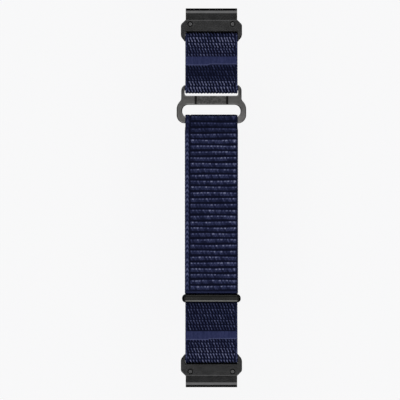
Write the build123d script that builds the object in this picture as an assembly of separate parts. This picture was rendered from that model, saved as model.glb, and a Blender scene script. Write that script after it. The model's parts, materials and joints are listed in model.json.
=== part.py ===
"""Hook-and-loop watch band: two quick-release end links, a short strap, a buckle, a long strap and a keeper.

Millimetres. +X runs across the band, +Y towards the upper end link, +Z out of the front face. The origin is
at the middle of the band's length, on the surface that the band rests on.
"""

from build123d import *
import os
from math import radians, tan

os.makedirs("parts", exist_ok=True)

# Whole band
BAND_LENGTH = 161.0  # from one end link's neck to the other's
LUG_GAP = 22.0  # between the watch's lugs
BAR_HEIGHT = 3.0  # height of every bar axis, and of the plane between the two plies

# Webbing
WEBBING_EXTRA = 0.1  # how much wider the webbing is than the gap between the lugs
PLY = 1.3  # thickness of one layer
PEEL_GAP = 0.05  # between the long strap and the tail that lies on it
LOOP_CLEARANCE = 0.08  # between a bar and the webbing round it, on the radius
LOOP_TAPER = 5.0  # length over which the two plies of a loop come together
SHORT_STRAP_SPAN = 21.1  # from the upper end link's bar to the buckle's upper bar
WELD_DISTANCE = 11.3  # from the lower end link's bar to the end of the ply that is welded on
WELD_STEP = 5.0  # length over which the long strap comes down off the weld

# Bend lines, where the long strap and its tail bend to the wrist
BEND_COUNT = 4
BEND_INWARD = 36.0  # degrees that one bend line can bend towards the wrist
BEND_OUTWARD = 14.0  # degrees that it can bend back
BEND_GAP = 0.06  # between two links of webbing at the bend line
BEND_MARGIN = 1.0  # degrees to spare on each bevelled end
FIRST_BEND = 21.0  # from the buckle's lower bar to the first bend line
LAST_BEND = 1.2  # from the foot of the weld step to the last bend line
PEEL_DISTANCE = 8.0  # from the buckle's lower bar to the line where the tail peels off

# Hook pad under the tail's end
PAD_SIDE_MARGIN = 2.05
PAD_THICKNESS = 0.45
PAD_LENGTH = 24.0
PAD_END_MARGIN = 1.2  # between the pad and the tail's tip
PAD_BEND_MARGIN = 0.4  # between a pad and a bend line

# Keeper
KEEPER_LENGTH = 3.3  # along the band
KEEPER_BAR = 1.0  # thickness of its upper and lower bars
KEEPER_SIDE = 1.0  # thickness of its two sides
KEEPER_SIDE_CLEARANCE = 0.4
KEEPER_PLY_CLEARANCE = 0.2
KEEPER_CORNER = 1.9
KEEPER_TIP_EDGE = 0.4  # rounding of the edge that faces the tail's tip
KEEPER_FAR_EDGE = 0.95  # rounding of the other edge
KEEPER_END_ROUND = 1.5  # rounding of the keeper's two ends, seen from the front
KEEPER_FROM_BEND = 7.6  # from the last bend line to the keeper's middle
TIP_GAP = 0.35  # between the tail's tip and the keeper

# Buckle
BAR_RADIUS = 1.1  # every bar that webbing goes round
BUCKLE_THICKNESS = 3.0
UPPER_SLOT_CLEARANCE = 0.35  # beside the webbing
LOWER_SLOT_CLEARANCE = 1.35
UPPER_ARM = 1.4  # width of each side of the upper part
LOWER_ARM = 2.35
MIDDLE_BAR = 3.7  # width of the middle bar
UPPER_GAP = 0.92  # between the short strap's loop and the middle bar
THREADING_GAP = 4.12  # between the middle bar and the long strap's fold
UPPER_SLOT_CORNER = 0.9
SLOT_CORNER = 2.6
BUCKLE_TOP_CORNER = 2.8
BUCKLE_CORNER = 3.4
WAIST_RISE = 2.0  # from the middle bar's lower edge up to where the sides start to flare
FLARE_LENGTH = 2.4
WAIST_CORNER = 1.6
FLARE_CORNER = 4.5
LOOP_SIDE_CLEARANCE = 0.12  # between the webbing's edge and the metal beside a bar
BUCKLE_EDGE = 0.4
BAR_ROOT = 0.15  # how far each bar runs into the metal beside it
PLAQUE_HALF = 6.7
GROOVE_WIDTH = 0.9
GROOVE_DEPTH = 0.5

# End link, with distances counted from its strap bar towards the watch
LUG_CLEARANCE = 0.1  # at each side of the neck
NECK_END = 12.7
NECK_START = 7.6
NECK_TOP = 5.2
NECK_ROUND = 2.3
NECK_LOW_ROUND = 0.6
SLOT_CLEARANCE = 0.22  # between the webbing loop and the slot's edge
WING_WIDTH = 1.78
LINK_TOP = 5.6
LINK_BOTTOM = 0.6
WING_END = 1.15  # how far the wings run past the bar
WING_TIP = 0.2  # width of a wing at its very end
SHOULDER = 2.0  # length of each sloping corner
LINK_CORNER = 1.8
LINK_EDGE = 0.3
TONGUE_TOP = 3.2
TONGUE_GAP = 0.3  # between the slot's edge and the saddle's tongue
TOE_REACH = 0.9  # how far the foot of the tongue runs under the webbing loop
TOE_HEIGHT = 0.45

# Lug pin groove and latch
GROOVE_RADIUS = 1.0
GROOVE_AT = 10.0
PIN_CLEARANCE = 0.15  # between the lug pin's groove and the latch
LATCH_HALF_WIDTH = 6.0
LATCH_THICKNESS = 0.7
LATCH_BACK = 5.4
LATCH_REACH = 1.4  # how far the nose covers the groove's mouth
LATCH_OPEN = 0.2  # how far the nose draws back behind the mouth
NOSE_CHAMFER = 0.42
LATCH_CLEARANCE = 0.05
SPRING_AT = 4.0
SPRING_RADIUS = 0.27
SPRING_WIRE = 0.07
SPRING_TURNS = 6
SPRING_END_GAP = 0.2  # left behind the latch when it is drawn back
SPRING_POCKET = 0.8
POCKET_DEPTH = 1.8
TAB_HALF_WIDTH = 2.5
TAB_START = 5.9
TAB_LENGTH = 1.5
COVER_THICKNESS = 0.5
WINDOW_CLEARANCE = 0.15

# Screws
SCREW_MARGIN = 1.95  # from the neck's side to each screw
FRAME_SCREW_AT = 5.75
FRAME_SCREW_HEAD = 0.72
FRAME_SCREW_SHANK = 0.5
FRAME_SCREW_RECESS = 1.15
FRAME_SCREW_DEPTH = 0.7
COVER_SCREW_AT = 7.85
COVER_SCREW_HEAD = 0.75
COVER_SCREW_SHANK = 0.4
COVER_SOCKET_RADIUS = 0.32
COVER_SCREW_DEPTH = 0.3
THREAD_LENGTH = 1.7
SCREW_SINK = 0.12  # how far heads and tips stay inside their holes
FIT_CLEARANCE = 0.03  # round each screw, and between the plate and the saddle
SOCKET_RADIUS = 0.38
SOCKET_DEPTH = 0.35

# Working values
CUT = 1.0  # how far a cut runs past the face that it opens
TOLERANCE = 0.001

# Sizes and places that follow from those
webbing_width = LUG_GAP + WEBBING_EXTRA
neck_half = LUG_GAP / 2 - LUG_CLEARANCE
loop_inner = BAR_RADIUS + LOOP_CLEARANCE
loop_outer = loop_inner + PLY
link_bar = BAND_LENGTH / 2 - NECK_END
buckle_upper_bar = link_bar - SHORT_STRAP_SPAN
middle_bar_top = buckle_upper_bar - loop_outer - UPPER_GAP
middle_bar_bottom = middle_bar_top - MIDDLE_BAR
buckle_lower_bar = middle_bar_bottom - THREADING_GAP - loop_outer
peel_line = buckle_lower_bar - PEEL_DISTANCE
weld_end = -link_bar + WELD_DISTANCE
step_foot = weld_end + WELD_STEP
first_bend = buckle_lower_bar - FIRST_BEND
last_bend = step_foot + LAST_BEND
bend_spacing = (first_bend - last_bend) / (BEND_COUNT - 1)
bend_lines = [first_bend - i * bend_spacing for i in range(BEND_COUNT)]
keeper_middle = last_bend + KEEPER_FROM_BEND
tail_tip = keeper_middle + KEEPER_LENGTH / 2 + TIP_GAP
tail_bottom = BAR_HEIGHT + PEEL_GAP
tail_top = tail_bottom + PLY
ply_bottom = BAR_HEIGHT - PLY
inward_bevel = PLY * tan(radians(BEND_INWARD / 2 + BEND_MARGIN))
outward_bevel = (PLY + PEEL_GAP) * tan(radians(BEND_OUTWARD / 2 + BEND_MARGIN))

# The same inside an end link, counted from its strap bar
slot_edge = loop_outer + SLOT_CLEARANCE
tongue_start = slot_edge + TONGUE_GAP
latch_bottom = COVER_THICKNESS + LATCH_CLEARANCE
latch_top = latch_bottom + LATCH_THICKNESS
latch_travel = LATCH_REACH + LATCH_OPEN
latch_tip = GROOVE_AT - GROOVE_RADIUS + LATCH_REACH
channel_top = latch_top + LATCH_CLEARANCE
channel_start = LATCH_BACK - latch_travel - SPRING_END_GAP
groove_height = latch_top + PIN_CLEARANCE + GROOVE_RADIUS
wing_inner = webbing_width / 2 + LOOP_SIDE_CLEARANCE
link_half_width = wing_inner + WING_WIDTH
screw_places = (SCREW_MARGIN - neck_half, neck_half - SCREW_MARGIN)
spring_height = (COVER_THICKNESS + channel_top) / 2


def polygon(*points):
    return Polygon(*points, align=None)


def across(profile, width):
    """A solid with this side profile, which gives (along the band, height), centred across the band."""
    return extrude(Plane.YZ * profile, width / 2, both=True)


def upright(outline, z):
    """A solid with this outline, seen from the front, between two heights."""
    low, high = z
    return Pos(0, 0, low) * extrude(outline, high - low, dir=(0, 0, 1))


def slab(x, y, z):
    """A box between the low and high values of each axis."""
    size = [high - low for low, high in (x, y, z)]
    return Pos(*[(low + high) / 2 for low, high in (x, y, z)]) * Box(*size)


def both_sides(half, y, z):
    return slab((-half, half), y, z)


def bar(at, half_length):
    """A round bar across the band."""
    return Pos(0, at, BAR_HEIGHT) * Rot(0, 90, 0) * Cylinder(BAR_RADIUS, 2 * half_length)


def post(x, y, z, radius):
    """An upright cylinder between two heights."""
    low, high = z
    return Pos(x, y, (low + high) / 2) * Cylinder(radius, high - low)


# Webbing


def loop(at, toward):
    """The side profile of a loop round a bar that tapers to two flat plies, towards +Y (1) or -Y (-1)."""
    join = at + toward * LOOP_TAPER
    outside = Pos(at, BAR_HEIGHT) * Circle(loop_outer) + polygon(
        (at, BAR_HEIGHT + loop_outer),
        (join, BAR_HEIGHT + PLY),
        (join, BAR_HEIGHT - PLY),
        (at, BAR_HEIGHT - loop_outer),
    )
    inside = Pos(at, BAR_HEIGHT) * Circle(loop_inner) + polygon(
        (at, BAR_HEIGHT + loop_inner),
        (join, BAR_HEIGHT),
        (at, BAR_HEIGHT - loop_inner),
    )
    return outside - inside


def doubled(start, end):
    """Two plies lying on each other, as a side profile."""
    return polygon(
        (start, ply_bottom), (end, ply_bottom), (end, BAR_HEIGHT + PLY), (start, BAR_HEIGHT + PLY)
    )


def short_strap():
    profile = loop(link_bar, -1) + loop(buckle_upper_bar, 1)
    profile += doubled(buckle_upper_bar + LOOP_TAPER, link_bar - LOOP_TAPER)
    return across(profile, webbing_width)


def strap_fold():
    """The long strap's fold round the buckle's lower bar, with the start of the tail above."""
    at = buckle_lower_bar
    join = at - LOOP_TAPER
    ring = Pos(at, BAR_HEIGHT) * (Circle(loop_outer) - Circle(loop_inner))
    half = polygon(
        (at, BAR_HEIGHT - 2 * loop_outer),
        (at + 2 * loop_outer, BAR_HEIGHT - 2 * loop_outer),
        (at + 2 * loop_outer, BAR_HEIGHT + 2 * loop_outer),
        (at, BAR_HEIGHT + 2 * loop_outer),
    )
    under = polygon(
        (at, BAR_HEIGHT - loop_inner),
        (join, BAR_HEIGHT),
        (first_bend + BEND_GAP / 2, BAR_HEIGHT),
        (first_bend + BEND_GAP / 2 + inward_bevel, ply_bottom),
        (join, ply_bottom),
        (at, BAR_HEIGHT - loop_outer),
    )
    over = polygon(
        (at, BAR_HEIGHT + loop_inner),
        (join, tail_bottom),
        (peel_line + BEND_GAP / 2, tail_bottom),
        (peel_line + BEND_GAP / 2, tail_top),
        (join, tail_top),
        (at, BAR_HEIGHT + loop_outer),
    )
    return across(ring & half, webbing_width) + across(under, webbing_width) + across(over, webbing_width)


def strap_link(upper, lower):
    """One flat link of the long strap between two bend lines, bevelled underneath at both ends."""
    top_upper = upper - BEND_GAP / 2
    top_lower = lower + BEND_GAP / 2
    profile = polygon(
        (top_upper, BAR_HEIGHT),
        (top_lower, BAR_HEIGHT),
        (top_lower + inward_bevel, ply_bottom),
        (top_upper - inward_bevel, ply_bottom),
    )
    return across(profile, webbing_width)


def strap_base():
    """The long strap's loop round the lower end link's bar, its welded double stretch and the step down."""
    top = last_bend - BEND_GAP / 2
    main_ply = polygon(
        (-link_bar + LOOP_TAPER, BAR_HEIGHT),
        (weld_end, BAR_HEIGHT),
        (step_foot, ply_bottom),
        (top - inward_bevel, ply_bottom),
        (top, BAR_HEIGHT),
        (step_foot, BAR_HEIGHT),
        (weld_end, BAR_HEIGHT + PLY),
        (-link_bar + LOOP_TAPER, BAR_HEIGHT + PLY),
    )
    profile = loop(-link_bar, 1) + doubled(-link_bar + LOOP_TAPER, weld_end) + main_ply
    return across(profile, webbing_width)


def tail_link(upper, lower, bevel_upper, bevel_lower):
    """One flat link of the tail, bevelled on top at each end that meets a bend line."""
    profile = polygon(
        (upper - BEND_GAP / 2, tail_bottom),
        (lower + BEND_GAP / 2, tail_bottom),
        (lower + BEND_GAP / 2 + bevel_lower, tail_top),
        (upper - BEND_GAP / 2 - bevel_upper, tail_top),
    )
    return across(profile, webbing_width)


def hook_pad(upper, lower):
    half = webbing_width / 2 - PAD_SIDE_MARGIN
    return both_sides(half, (lower, upper), (tail_bottom, tail_bottom + PAD_THICKNESS))


# Metal parts of the strap


def rounded(sketch, x, y, radius):
    """Round the sketch's corners at this distance from the middle plane and this place along the band."""
    corners = [v for v in sketch.vertices() if abs(abs(v.X) - x) < TOLERANCE and abs(v.Y - y) < TOLERANCE]
    return fillet(corners, radius)


def edges_at(solid, axis, value):
    return solid.edges().filter_by_position(axis, value - TOLERANCE, value + TOLERANCE)


def keeper():
    """A rectangular metal loop round the strap, with rounded bars."""
    inner_half = webbing_width / 2 + KEEPER_SIDE_CLEARANCE
    inner_height = PLY + PEEL_GAP + PLY + 2 * KEEPER_PLY_CLEARANCE
    height = inner_height + 2 * KEEPER_BAR
    outline = RectangleRounded(2 * (inner_half + KEEPER_SIDE), height, KEEPER_CORNER)
    ring = extrude(Plane.XZ * outline, KEEPER_LENGTH / 2, both=True)
    ring = fillet(edges_at(ring, Axis.Y, -KEEPER_LENGTH / 2), KEEPER_FAR_EDGE)
    ring = fillet(edges_at(ring, Axis.Y, KEEPER_LENGTH / 2), KEEPER_TIP_EDGE)
    plan = RectangleRounded(2 * (inner_half + KEEPER_SIDE), KEEPER_LENGTH, KEEPER_END_ROUND)
    ring &= upright(plan, (-height / 2, height / 2))
    ring -= both_sides(inner_half, (-KEEPER_LENGTH, KEEPER_LENGTH), (-inner_height / 2, inner_height / 2))
    return Pos(0, keeper_middle, (ply_bottom + tail_top) / 2) * ring


def buckle():
    """A flat open buckle: a round bar at each end, a wide middle bar, and sides that flare below it."""
    top = buckle_upper_bar + BAR_RADIUS + BUCKLE_EDGE
    bottom = buckle_lower_bar - BAR_RADIUS - BUCKLE_EDGE / 2
    upper_slot_half = webbing_width / 2 + UPPER_SLOT_CLEARANCE
    lower_slot_half = webbing_width / 2 + LOWER_SLOT_CLEARANCE
    upper_half = upper_slot_half + UPPER_ARM
    lower_half = lower_slot_half + LOWER_ARM
    waist = middle_bar_bottom + WAIST_RISE
    shoulder = waist - FLARE_LENGTH
    half = [
        (upper_half, top),
        (upper_half, waist),
        (lower_half, shoulder),
        (lower_half, bottom),
    ]
    outline = polygon(*half, *[(-x, y) for x, y in reversed(half)])
    outline = rounded(outline, upper_half, top, BUCKLE_TOP_CORNER)
    outline = rounded(outline, lower_half, bottom, BUCKLE_CORNER)
    outline = rounded(outline, upper_half, waist, WAIST_CORNER)
    outline = rounded(outline, lower_half, shoulder, FLARE_CORNER)

    slot_bottom = buckle_lower_bar + BAR_RADIUS
    slot_middle = (slot_bottom + middle_bar_bottom) / 2
    slot_length = middle_bar_bottom - slot_bottom
    corner = min(SLOT_CORNER, slot_length / 2 - TOLERANCE)
    lower_slot = Pos(0, slot_middle) * RectangleRounded(2 * lower_slot_half, slot_length, corner)
    slot_top = buckle_upper_bar - BAR_RADIUS
    upper_slot = polygon(
        (-upper_slot_half, middle_bar_top),
        (upper_slot_half, middle_bar_top),
        (upper_slot_half, slot_top),
        (-upper_slot_half, slot_top),
    )
    upper_slot = rounded(upper_slot, upper_slot_half, middle_bar_top, UPPER_SLOT_CORNER)
    bottom_z = BAR_HEIGHT - BUCKLE_THICKNESS / 2
    top_z = BAR_HEIGHT + BUCKLE_THICKNESS / 2
    body = upright(outline - lower_slot - upper_slot, (bottom_z, top_z))
    body = fillet(edges_at(body, Axis.Z, bottom_z) + edges_at(body, Axis.Z, top_z), BUCKLE_EDGE)

    heights = (0, 2 * BAR_HEIGHT)
    body -= both_sides(upper_slot_half, (slot_top - BUCKLE_EDGE, top + CUT), heights)
    body -= both_sides(wing_inner, (bottom - CUT, slot_bottom + BUCKLE_EDGE), heights)
    body += bar(buckle_upper_bar, upper_slot_half + BAR_ROOT)
    body += bar(buckle_lower_bar, wing_inner + BUCKLE_EDGE)
    for x in (-PLAQUE_HALF, PLAQUE_HALF):
        body -= slab(
            (x - GROOVE_WIDTH / 2, x + GROOVE_WIDTH / 2),
            (middle_bar_bottom - CUT, middle_bar_top + CUT),
            (top_z - GROOVE_DEPTH, top_z + CUT),
        )
    return body


# End link, in its own frame: the strap bar is at 0 and +Y points towards the watch


def link_frame():
    """The plate with its two wings and the round strap bar between them."""
    half = [
        (neck_half, NECK_START),
        (link_half_width, NECK_START - SHOULDER),
        (link_half_width, SHOULDER - WING_END),
        (wing_inner + WING_TIP, -WING_END),
    ]
    outline = polygon(*half, *[(-x, y) for x, y in reversed(half)])
    outline = rounded(outline, link_half_width, NECK_START - SHOULDER, LINK_CORNER)
    outline = rounded(outline, link_half_width, SHOULDER - WING_END, LINK_CORNER)
    frame = upright(outline, (LINK_BOTTOM, LINK_TOP))
    frame = fillet(edges_at(frame, Axis.Z, LINK_TOP) + edges_at(frame, Axis.Z, LINK_BOTTOM), LINK_EDGE)
    frame -= both_sides(wing_inner, (-2 * WING_END, slot_edge), (0, 2 * LINK_TOP))
    frame -= both_sides(neck_half + FIT_CLEARANCE, (0, NECK_END), (0, TONGUE_TOP))
    frame += bar(0, wing_inner + LINK_EDGE)
    for x in screw_places:
        frame -= post(x, FRAME_SCREW_AT, (0, LINK_TOP), FRAME_SCREW_SHANK + FIT_CLEARANCE)
        frame -= post(x, FRAME_SCREW_AT, (LINK_TOP - FRAME_SCREW_DEPTH, 2 * LINK_TOP), FRAME_SCREW_RECESS)
    return frame


def saddle():
    """The rounded neck with the lug pin's groove, and the tongue that the plate is screwed to."""
    body = both_sides(neck_half, (NECK_START, NECK_END), (0, NECK_TOP))
    end_edges = edges_at(body, Axis.Y, NECK_END).filter_by(Axis.X)
    body = fillet(end_edges.sort_by(Axis.Z)[-1], NECK_ROUND)
    low_edge = edges_at(body, Axis.Z, 0).filter_by(Axis.X).sort_by(Axis.Y)[-1]
    body = fillet(low_edge, NECK_LOW_ROUND)
    body += both_sides(neck_half, (tongue_start, NECK_START), (COVER_THICKNESS, TONGUE_TOP))
    toe_start = tongue_start - TOE_REACH
    toe_height = (COVER_THICKNESS, COVER_THICKNESS + TOE_HEIGHT)
    body += both_sides(neck_half, (toe_start, tongue_start), toe_height)
    body += both_sides(wing_inner - FIT_CLEARANCE, (toe_start, slot_edge - FIT_CLEARANCE), toe_height)
    body -= both_sides(2 * neck_half, (0, GROOVE_AT - GROOVE_RADIUS), (-CUT, COVER_THICKNESS))
    body -= Pos(0, GROOVE_AT, groove_height) * Rot(0, 90, 0) * Cylinder(GROOVE_RADIUS, 4 * neck_half)
    mouth = (GROOVE_AT - GROOVE_RADIUS, GROOVE_AT + GROOVE_RADIUS)
    body -= both_sides(2 * neck_half, mouth, (-CUT, groove_height))
    body -= both_sides(LATCH_HALF_WIDTH + LATCH_CLEARANCE, (channel_start, GROOVE_AT), (0, channel_top))
    for x in screw_places:
        shank = FRAME_SCREW_SHANK + FIT_CLEARANCE
        body -= post(x, FRAME_SCREW_AT, (TONGUE_TOP - THREAD_LENGTH, TONGUE_TOP), shank)
        shank = COVER_SCREW_SHANK + FIT_CLEARANCE
        body -= post(x, COVER_SCREW_AT, (0, COVER_THICKNESS + THREAD_LENGTH), shank)
    return body


def latch():
    """The sliding latch: a nose that closes the groove, two spring pockets and a thumb tab below."""
    half = LATCH_HALF_WIDTH
    body = both_sides(half, (LATCH_BACK, latch_tip), (latch_bottom, latch_top))
    nose = edges_at(body, Axis.Y, latch_tip).filter_by(Axis.X).sort_by(Axis.Z)[0]
    body = chamfer(nose, NOSE_CHAMFER)
    for x in (-SPRING_AT, SPRING_AT):
        pocket = (x - SPRING_POCKET / 2, x + SPRING_POCKET / 2)
        body -= slab(pocket, (LATCH_BACK - CUT, LATCH_BACK + POCKET_DEPTH), (0, 2 * latch_top))
    tab = (TAB_START, TAB_START + TAB_LENGTH)
    return body + both_sides(TAB_HALF_WIDTH, tab, (LATCH_CLEARANCE, latch_bottom))


def springs():
    """The two coil springs that push the latch shut."""
    length = LATCH_BACK + POCKET_DEPTH - channel_start - 2 * SPRING_WIRE
    path = Helix(pitch=length / SPRING_TURNS, height=length, radius=SPRING_RADIUS)
    wire = Plane(origin=path @ 0, z_dir=path % 0) * Circle(SPRING_WIRE)
    coil = Rot(-90, 0, 0) * sweep(wire, path=path, is_frenet=True)
    start = channel_start + SPRING_WIRE
    return [Pos(x, start, spring_height) * coil for x in (-SPRING_AT, SPRING_AT)]


def cover():
    """The plate underneath that holds the latch in, with a window for the thumb tab."""
    body = both_sides(neck_half, (tongue_start, GROOVE_AT - GROOVE_RADIUS), (0, COVER_THICKNESS))
    window = (TAB_START - latch_travel - WINDOW_CLEARANCE, TAB_START + TAB_LENGTH + WINDOW_CLEARANCE)
    body -= both_sides(TAB_HALF_WIDTH + WINDOW_CLEARANCE, window, (-CUT, 2 * COVER_THICKNESS))
    for x in screw_places:
        shank = COVER_SCREW_SHANK + FIT_CLEARANCE
        body -= post(x, COVER_SCREW_AT, (-CUT, 2 * COVER_THICKNESS), shank)
        head = COVER_SCREW_HEAD + FIT_CLEARANCE
        body -= post(x, COVER_SCREW_AT, (-CUT, COVER_SCREW_DEPTH), head)
    return body


def frame_screws():
    """Two socket screws from the front, through the plate into the saddle."""
    head_top = LINK_TOP - SCREW_SINK
    seat = LINK_TOP - FRAME_SCREW_DEPTH
    screws = []
    for x in screw_places:
        screw = post(x, FRAME_SCREW_AT, (seat, head_top), FRAME_SCREW_HEAD)
        screw += post(x, FRAME_SCREW_AT, (TONGUE_TOP - THREAD_LENGTH + SCREW_SINK, seat), FRAME_SCREW_SHANK)
        socket = Pos(x, FRAME_SCREW_AT) * RegularPolygon(SOCKET_RADIUS, 6)
        screws.append(screw - upright(socket, (head_top - SOCKET_DEPTH, LINK_TOP)))
    return screws


def cover_screws():
    """Two socket screws from below, through the cover into the saddle."""
    screws = []
    for x in screw_places:
        screw = post(x, COVER_SCREW_AT, (FIT_CLEARANCE, COVER_SCREW_DEPTH), COVER_SCREW_HEAD)
        tip = COVER_THICKNESS + THREAD_LENGTH - SCREW_SINK
        screw += post(x, COVER_SCREW_AT, (COVER_SCREW_DEPTH, tip), COVER_SCREW_SHANK)
        socket = Pos(x, COVER_SCREW_AT) * RegularPolygon(COVER_SOCKET_RADIUS, 6)
        screws.append(screw - upright(socket, (0, COVER_SCREW_DEPTH)))
    return screws


END_LINK = {
    "frame": link_frame,
    "saddle": saddle,
    "latch": latch,
    "springs": springs,
    "cover": cover,
    "frame_screws": frame_screws,
    "cover_screws": cover_screws,
}


def at_end(solids, end):
    """Move an end link's piece to the upper end, or turn it round to the lower end."""
    place = Pos(0, link_bar, 0)
    if end == "lower":
        place = Rot(0, 0, 180) * place
    return [place * solid for solid in solids]


# Every node of the band

nodes = {
    "short_strap": [short_strap()],
    "buckle": [buckle()],
    "keeper": [keeper()],
    "strap_fold": [strap_fold()],
    "strap_base": [strap_base()],
}

for number in range(BEND_COUNT - 1):
    nodes[f"strap_link_{number + 1}"] = [strap_link(bend_lines[number], bend_lines[number + 1])]

tail_ends = [peel_line] + [line for line in bend_lines if line > tail_tip] + [tail_tip]
pad_start = tail_tip + PAD_END_MARGIN + PAD_LENGTH
for number, (upper, lower) in enumerate(zip(tail_ends, tail_ends[1:])):
    bevel_upper = outward_bevel if upper in bend_lines else 0
    bevel_lower = outward_bevel if lower in bend_lines else 0
    link = tail_link(upper, lower, bevel_upper, bevel_lower)
    pad_high = min(pad_start, upper - PAD_BEND_MARGIN)
    pad_low = lower + (PAD_BEND_MARGIN if lower in bend_lines else PAD_END_MARGIN)
    if pad_high > pad_low:
        pad = hook_pad(pad_high, pad_low)
        link -= pad
        nodes[f"hook_pad_{number + 1}"] = [pad]
    nodes[f"tail_link_{number + 1}"] = [link]

for end in ("upper", "lower"):
    for name, make in END_LINK.items():
        made = make()
        solids = made if isinstance(made, list) else [made]
        nodes[f"{end}_{name}"] = at_end(solids, end)

for node, solids in nodes.items():
    shape = solids[0] if len(solids) == 1 else Compound(children=solids)
    export_step(shape, f"parts/{node}.step")
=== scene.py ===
"""Looks of the hook-and-loop watch band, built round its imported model.

The script's own unit is the millimetre, turned into metres where a mesh is made. Places come from the
frame: its joints give the bar axes and the bend lines, and its boxes give the webbing's ends.
"""

import json
import math

import bpy
import numpy as np
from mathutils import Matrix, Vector


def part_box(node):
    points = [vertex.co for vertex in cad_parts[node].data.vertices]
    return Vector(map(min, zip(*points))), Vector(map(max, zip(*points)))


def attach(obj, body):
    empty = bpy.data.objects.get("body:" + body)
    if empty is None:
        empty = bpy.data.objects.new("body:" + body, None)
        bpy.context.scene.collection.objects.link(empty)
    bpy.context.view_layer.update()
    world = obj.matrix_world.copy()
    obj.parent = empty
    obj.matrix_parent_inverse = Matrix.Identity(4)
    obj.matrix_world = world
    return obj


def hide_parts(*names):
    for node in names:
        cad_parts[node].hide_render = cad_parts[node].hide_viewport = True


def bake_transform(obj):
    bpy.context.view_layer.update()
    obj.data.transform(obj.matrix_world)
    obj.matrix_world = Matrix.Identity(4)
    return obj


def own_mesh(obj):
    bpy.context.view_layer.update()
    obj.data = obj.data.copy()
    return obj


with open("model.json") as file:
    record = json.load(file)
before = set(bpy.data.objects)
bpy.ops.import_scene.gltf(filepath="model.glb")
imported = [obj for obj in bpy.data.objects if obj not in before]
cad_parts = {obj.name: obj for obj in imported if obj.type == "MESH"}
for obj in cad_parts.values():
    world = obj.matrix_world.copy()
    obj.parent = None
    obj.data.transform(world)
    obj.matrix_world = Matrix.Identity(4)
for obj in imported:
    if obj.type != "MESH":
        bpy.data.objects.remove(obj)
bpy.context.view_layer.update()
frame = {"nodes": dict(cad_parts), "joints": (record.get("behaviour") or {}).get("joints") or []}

MM = 0.001

# Webbing
PLY = 1.3  # thickness of one layer at the top of its stitches
RELIEF = 0.27  # height of the stitches on each face
EDGE_ROUND = 0.45  # how far the rounded selvedge reaches in
SIDE_RELIEF = 0.1  # height of the stitches on the selvedges
SIDE_SPREAD = 0.08  # how far the selvedges stand out past the plain CAD webbing
TAIL_SPREAD = 0.2  # how much further they stand out on the tail, below the buckle
SPREAD_START = 2  # from the buckle's lower bar to where the tail starts to spread
SPREAD_LENGTH = 3
LINK_LOOP_FULLNESS = 0.82  # shape of the loops round the end links' bars: a circle is 1
LOOP_TAPER = 5.0  # length over which the two plies of a loop come together
TIP_SETBACK = 0.02  # from the end of the CAD tail to the end of the cloth
WELD_DISTANCE = 11.3  # from the lower end link's bar to the end of the welded ply
WELD_STEP = 5.0  # length over which the long strap comes down off the weld
WELD_LENGTH = 3.7  # length of the smooth pressed band over a weld
SHORT_WELD_SHIFT = 0.9  # from the middle of the short strap to the middle of its weld band
BEND_REACH = 3.5  # how far the cloth bends on each side of a bend line
PEEL_REACH = 6.0  # length over which the tail curls as it peels off
PEEL_MARGIN = 0.5  # flat cloth between the curl and the next piece
ROW_STEP = 0.19  # spacing of the mesh along the webbing
COLUMNS = 116  # mesh columns across each face
EDGE_STEPS = 5  # mesh steps round each selvedge
PATH_STEPS = 200  # points on each part of a path before it is spaced evenly
SAME_POINT = 1e-9  # points closer than this are one point

# Where the patterns lie along the band
RIB_PLACE = 24.3  # the ribs are counted from here
TWILL_PLACE = -47.0  # at this place of the long strap
TWILL_PLACE_READS = -48.0  # the twill pattern reads this
SHORT_TWILL_SHIFT = 1.1  # how far the short strap's twill is shifted from its weld

# Painted light and shade in the webbing's tone
CREST_LIGHT_TONE = (0.82, 0.5)  # away from the crests, and how much more on them
CREST_LIGHT_REACH = 2.6
SHORT_UPPER_CREST = -2  # from the end link's bar
SHORT_LOWER_CREST = 0.5  # from the buckle's bar
LONG_CREST = 1.5  # from the end link's bar
SHORT_PAINTED_SHADE = 0.4  # painted shade darkening the stretch between the weld and the buckle
SHORT_SHADED_STRETCH = (7, 4.5)  # its middle, from the buckle's bar, and half its length
LOOP_PAINTED_LIGHT = 1.3  # painted light on the far side of the loops round the end links' bars, lifting their shade
LOOP_PAINTED_LIGHT_START = 1.2  # from the bar
LOOP_PAINTED_LIGHT_LENGTH = 0.9
FOLD_SHADE = 0.35  # darkening of the tail towards the buckle
FOLD_SHADE_START = 9  # from the buckle's lower bar
FOLD_SHADE_LENGTH = 6

# Hem at the tail's tip
HEM_LENGTH = 1.5
HEM_EDGE = 0.3
HEM_HEIGHT = 0.35
HEM_TONE = 0.1
HEM_RIDGE = (0.62, 0.28)  # place from the tip, and half its length
HEM_RIDGE_HEIGHT = 0.7
HEM_RIDGE_TONE = 0.52

# Hook pads
PAD_BASE = 0.16  # thickness of the moulded sheet
PAD_CLEARANCE = 0.1  # round the pad, where the webbing is recessed
PAD_RECESS = -0.72  # height of the recess, in reliefs
PAD_RECESS_TONE = 0.05
HOOK_SPACING = 0.85
HOOK_MARGIN = 0.6  # part of the pad's length and width that carries no hooks
HOOK_RADIUS = 0.09
HOOK_TAPER = 0.5  # share of the radius lost from root to tip
HOOK_FLATNESS = 0.7  # thickness along the band for each one across
HOOK_PROFILE = [  # (along the band, height), from root to tip
    (0.0, 0.0),
    (0.02, -0.10),
    (0.06, -0.20),
    (0.13, -0.26),
    (0.20, -0.24),
    (0.22, -0.17),
]

# Textured panel on the buckle's middle bar
PANEL_HALF_WIDTH = 6.6
PANEL_HALF_LENGTH = 1.7
PANEL_MIDDLE = 5.2  # from the buckle's upper bar
PANEL_SCALE = 1300.0
PANEL_LEVEL = 0.6  # brightness of the panel for 1 around it
PANEL_MARKS = (0.6, 1.7)  # darkest and lightest mark for 1 on the panel

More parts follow.
